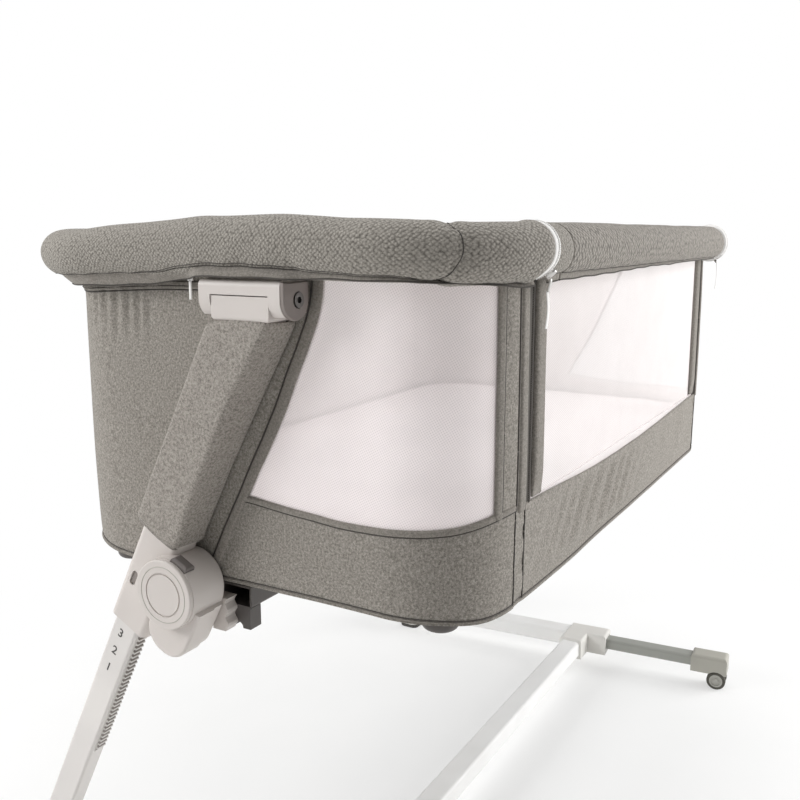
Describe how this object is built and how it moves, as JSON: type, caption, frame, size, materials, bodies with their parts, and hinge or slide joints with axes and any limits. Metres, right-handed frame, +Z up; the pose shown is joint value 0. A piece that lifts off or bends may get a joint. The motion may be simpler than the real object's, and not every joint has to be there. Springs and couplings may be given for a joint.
{
  "type": "bedside sleeper crib",
  "caption": "Bedside crib on two leaning height-adjustable legs, padded knit rim, grey fabric basket with white net windows, fold-down bed side, castor feet",
  "frame": {"origin": "Centre of the footprint, on the floor", "axes": "X along the crib from the end nearest in the picture to the far end, Y across it with the bed side at -Y, Z up"},
  "size_m": [0.95, 0.6026, 0.7542],
  "materials": {
    "rim_knit": "padded spacer knit",
    "melange_fabric": "brushed melange weave",
    "sleeve_fabric": "brushed melange weave over foam",
    "net_fabric": "white spacer net",
    "lining_fabric": "smooth cotton lining",
    "sheet_fabric": "jersey sheet over foam",
    "board_wood": "plain hardboard",
    "frame_steel": "powder coated steel",
    "leg_aluminium": "extruded aluminium",
    "leg_paint": "powder coated, light warm grey",
    "light_plastic": "moulded, fine grain",
    "dark_plastic": "moulded, fine grain",
    "button_plastic": "moulded, satin",
    "guide_plastic": "plain nylon",
    "bolt_steel": "zinc plated",
    "base_paint": "powder coated",
    "base_plastic": "moulded, fine grain",
    "slide_paint": "powder coated",
    "tyre_rubber": "soft tread",
    "wheel_plastic": "moulded",
    "pad_rubber": "moulded",
    "zip_tape": "woven tape"
  },
  "bodies": {
    "base": {"foot_bar_near": "base_paint", "foot_bar_far": "base_paint", "leg_foot_near": "base_plastic", "leg_foot_far": "base_plastic", "rear_pads": "pad_rubber", "lower_leg_near": "leg_paint", "lower_leg_far": "leg_paint", "leg_guides": "guide_plastic", "tee_joint_near": "base_plastic", "tee_joint_far": "base_plastic", "cross_bar": "base_paint"},
    "drop_side": {"drop_rail_cover": "rim_knit", "drop_rail_tube": "frame_steel", "drop_border": "melange_fabric", "drop_net": "net_fabric"},
    "near_slide": {"slide_tube_near": "slide_paint", "castor_cap_near": "base_plastic"},
    "far_slide": {"slide_tube_far": "slide_paint", "castor_cap_far": "base_plastic"},
    "near_wheels": {"tyres_near": "tyre_rubber", "wheel_hubs_near": "wheel_plastic"},
    "far_wheels": {"tyres_far": "tyre_rubber", "wheel_hubs_far": "wheel_plastic"},
    "near_pawl": {"pawl_near": "dark_plastic"},
    "far_pawl": {"pawl_far": "dark_plastic"},
    "near_button": {"release_button_near": "button_plastic"},
    "far_button": {"release_button_far": "button_plastic"},
    "basket": {"back_panel": "melange_fabric", "base_board": "board_wood", "bottom_panel": "melange_fabric", "button_spring_far": "bolt_steel", "button_spring_near": "bolt_steel", "end_panel_far": "melange_fabric", "end_panel_near": "melange_fabric", "end_window_far": "net_fabric", "end_window_near": "net_fabric", "front_band": "melange_fabric", "hinge_bolts": "bolt_steel", "hinge_caps": "dark_plastic", "hub_covers": "light_plastic", "hub_housing_far": "light_plastic", "hub_housing_near": "light_plastic", "leg_head_far": "light_plastic", "leg_head_near": "light_plastic", "leg_sleeve_far": "sleeve_fabric", "leg_sleeve_near": "sleeve_fabric", "lining": "lining_fabric", "mattress": "sheet_fabric", "rail_brackets": "light_plastic", "rim_bracket_far": "light_plastic", "rim_bracket_near": "light_plastic", "rim_cover_back": "rim_knit", "rim_cover_far": "rim_knit", "rim_cover_near": "rim_knit", "rim_tube": "frame_steel", "under_feet": "dark_plastic", "under_rail": "dark_plastic", "upper_tube_far": "leg_aluminium", "upper_tube_near": "leg_aluminium", "zips": "zip_tape"}
  },
  "joints": [
    {"name": "height", "type": "slide", "parent": "base", "child": "basket", "axis": [0, -0.4509, 0.8926], "range_m": [-0.045, 0.1575]},
    {"name": "drop_side_fold", "type": "hinge", "parent": "basket", "child": "drop_side", "pos_m": [0.015, -0.24015, 0.50785], "axis": [1, 0, 0], "range_deg": [0, 170]},
    {"name": "near_foot_slide", "type": "slide", "parent": "base", "child": "near_slide", "axis": [0.0785, 0.9969, 0], "range_m": [0, 0.12]},
    {"name": "far_foot_slide", "type": "slide", "parent": "base", "child": "far_slide", "axis": [-0.0785, 0.9969, 0], "range_m": [0, 0.12]},
    {"name": "near_wheel_spin", "type": "hinge", "parent": "near_slide", "child": "near_wheels", "pos_m": [-0.44303, -0.28333, 0.015], "axis": [0.9969, -0.0785, 0], "continuous": true},
    {"name": "far_wheel_spin", "type": "hinge", "parent": "far_slide", "child": "far_wheels", "pos_m": [0.44303, -0.28333, 0.015], "axis": [0.9969, 0.0785, 0], "continuous": true},
    {"name": "near_button_press", "type": "slide", "parent": "basket", "child": "near_button", "axis": [0, 0.4509, -0.8926], "range_m": [0, 0.004], "stiffness_N_per_m": 500, "deforming": ["button_spring_near"]},
    {"name": "near_pawl_turn", "type": "hinge", "parent": "basket", "child": "near_pawl", "pos_m": [-0.446, 0.06319, 0.40499], "axis": [1, 0, 0], "range_deg": [0, 13.6]},
    {"name": "far_button_press", "type": "slide", "parent": "basket", "child": "far_button", "axis": [0, 0.4509, -0.8926], "range_m": [0, 0.004], "stiffness_N_per_m": 500, "deforming": ["button_spring_far"]},
    {"name": "far_pawl_turn", "type": "hinge", "parent": "basket", "child": "far_pawl", "pos_m": [0.446, 0.06319, 0.40499], "axis": [1, 0, 0], "range_deg": [0, 13.6]}
  ],
  "couplings": [
    {"joint": "near_pawl_turn", "follows": "near_button_press", "rad_per_m": 58.5},
    {"joint": "far_pawl_turn", "follows": "far_button_press", "rad_per_m": 58.5}
  ]
}
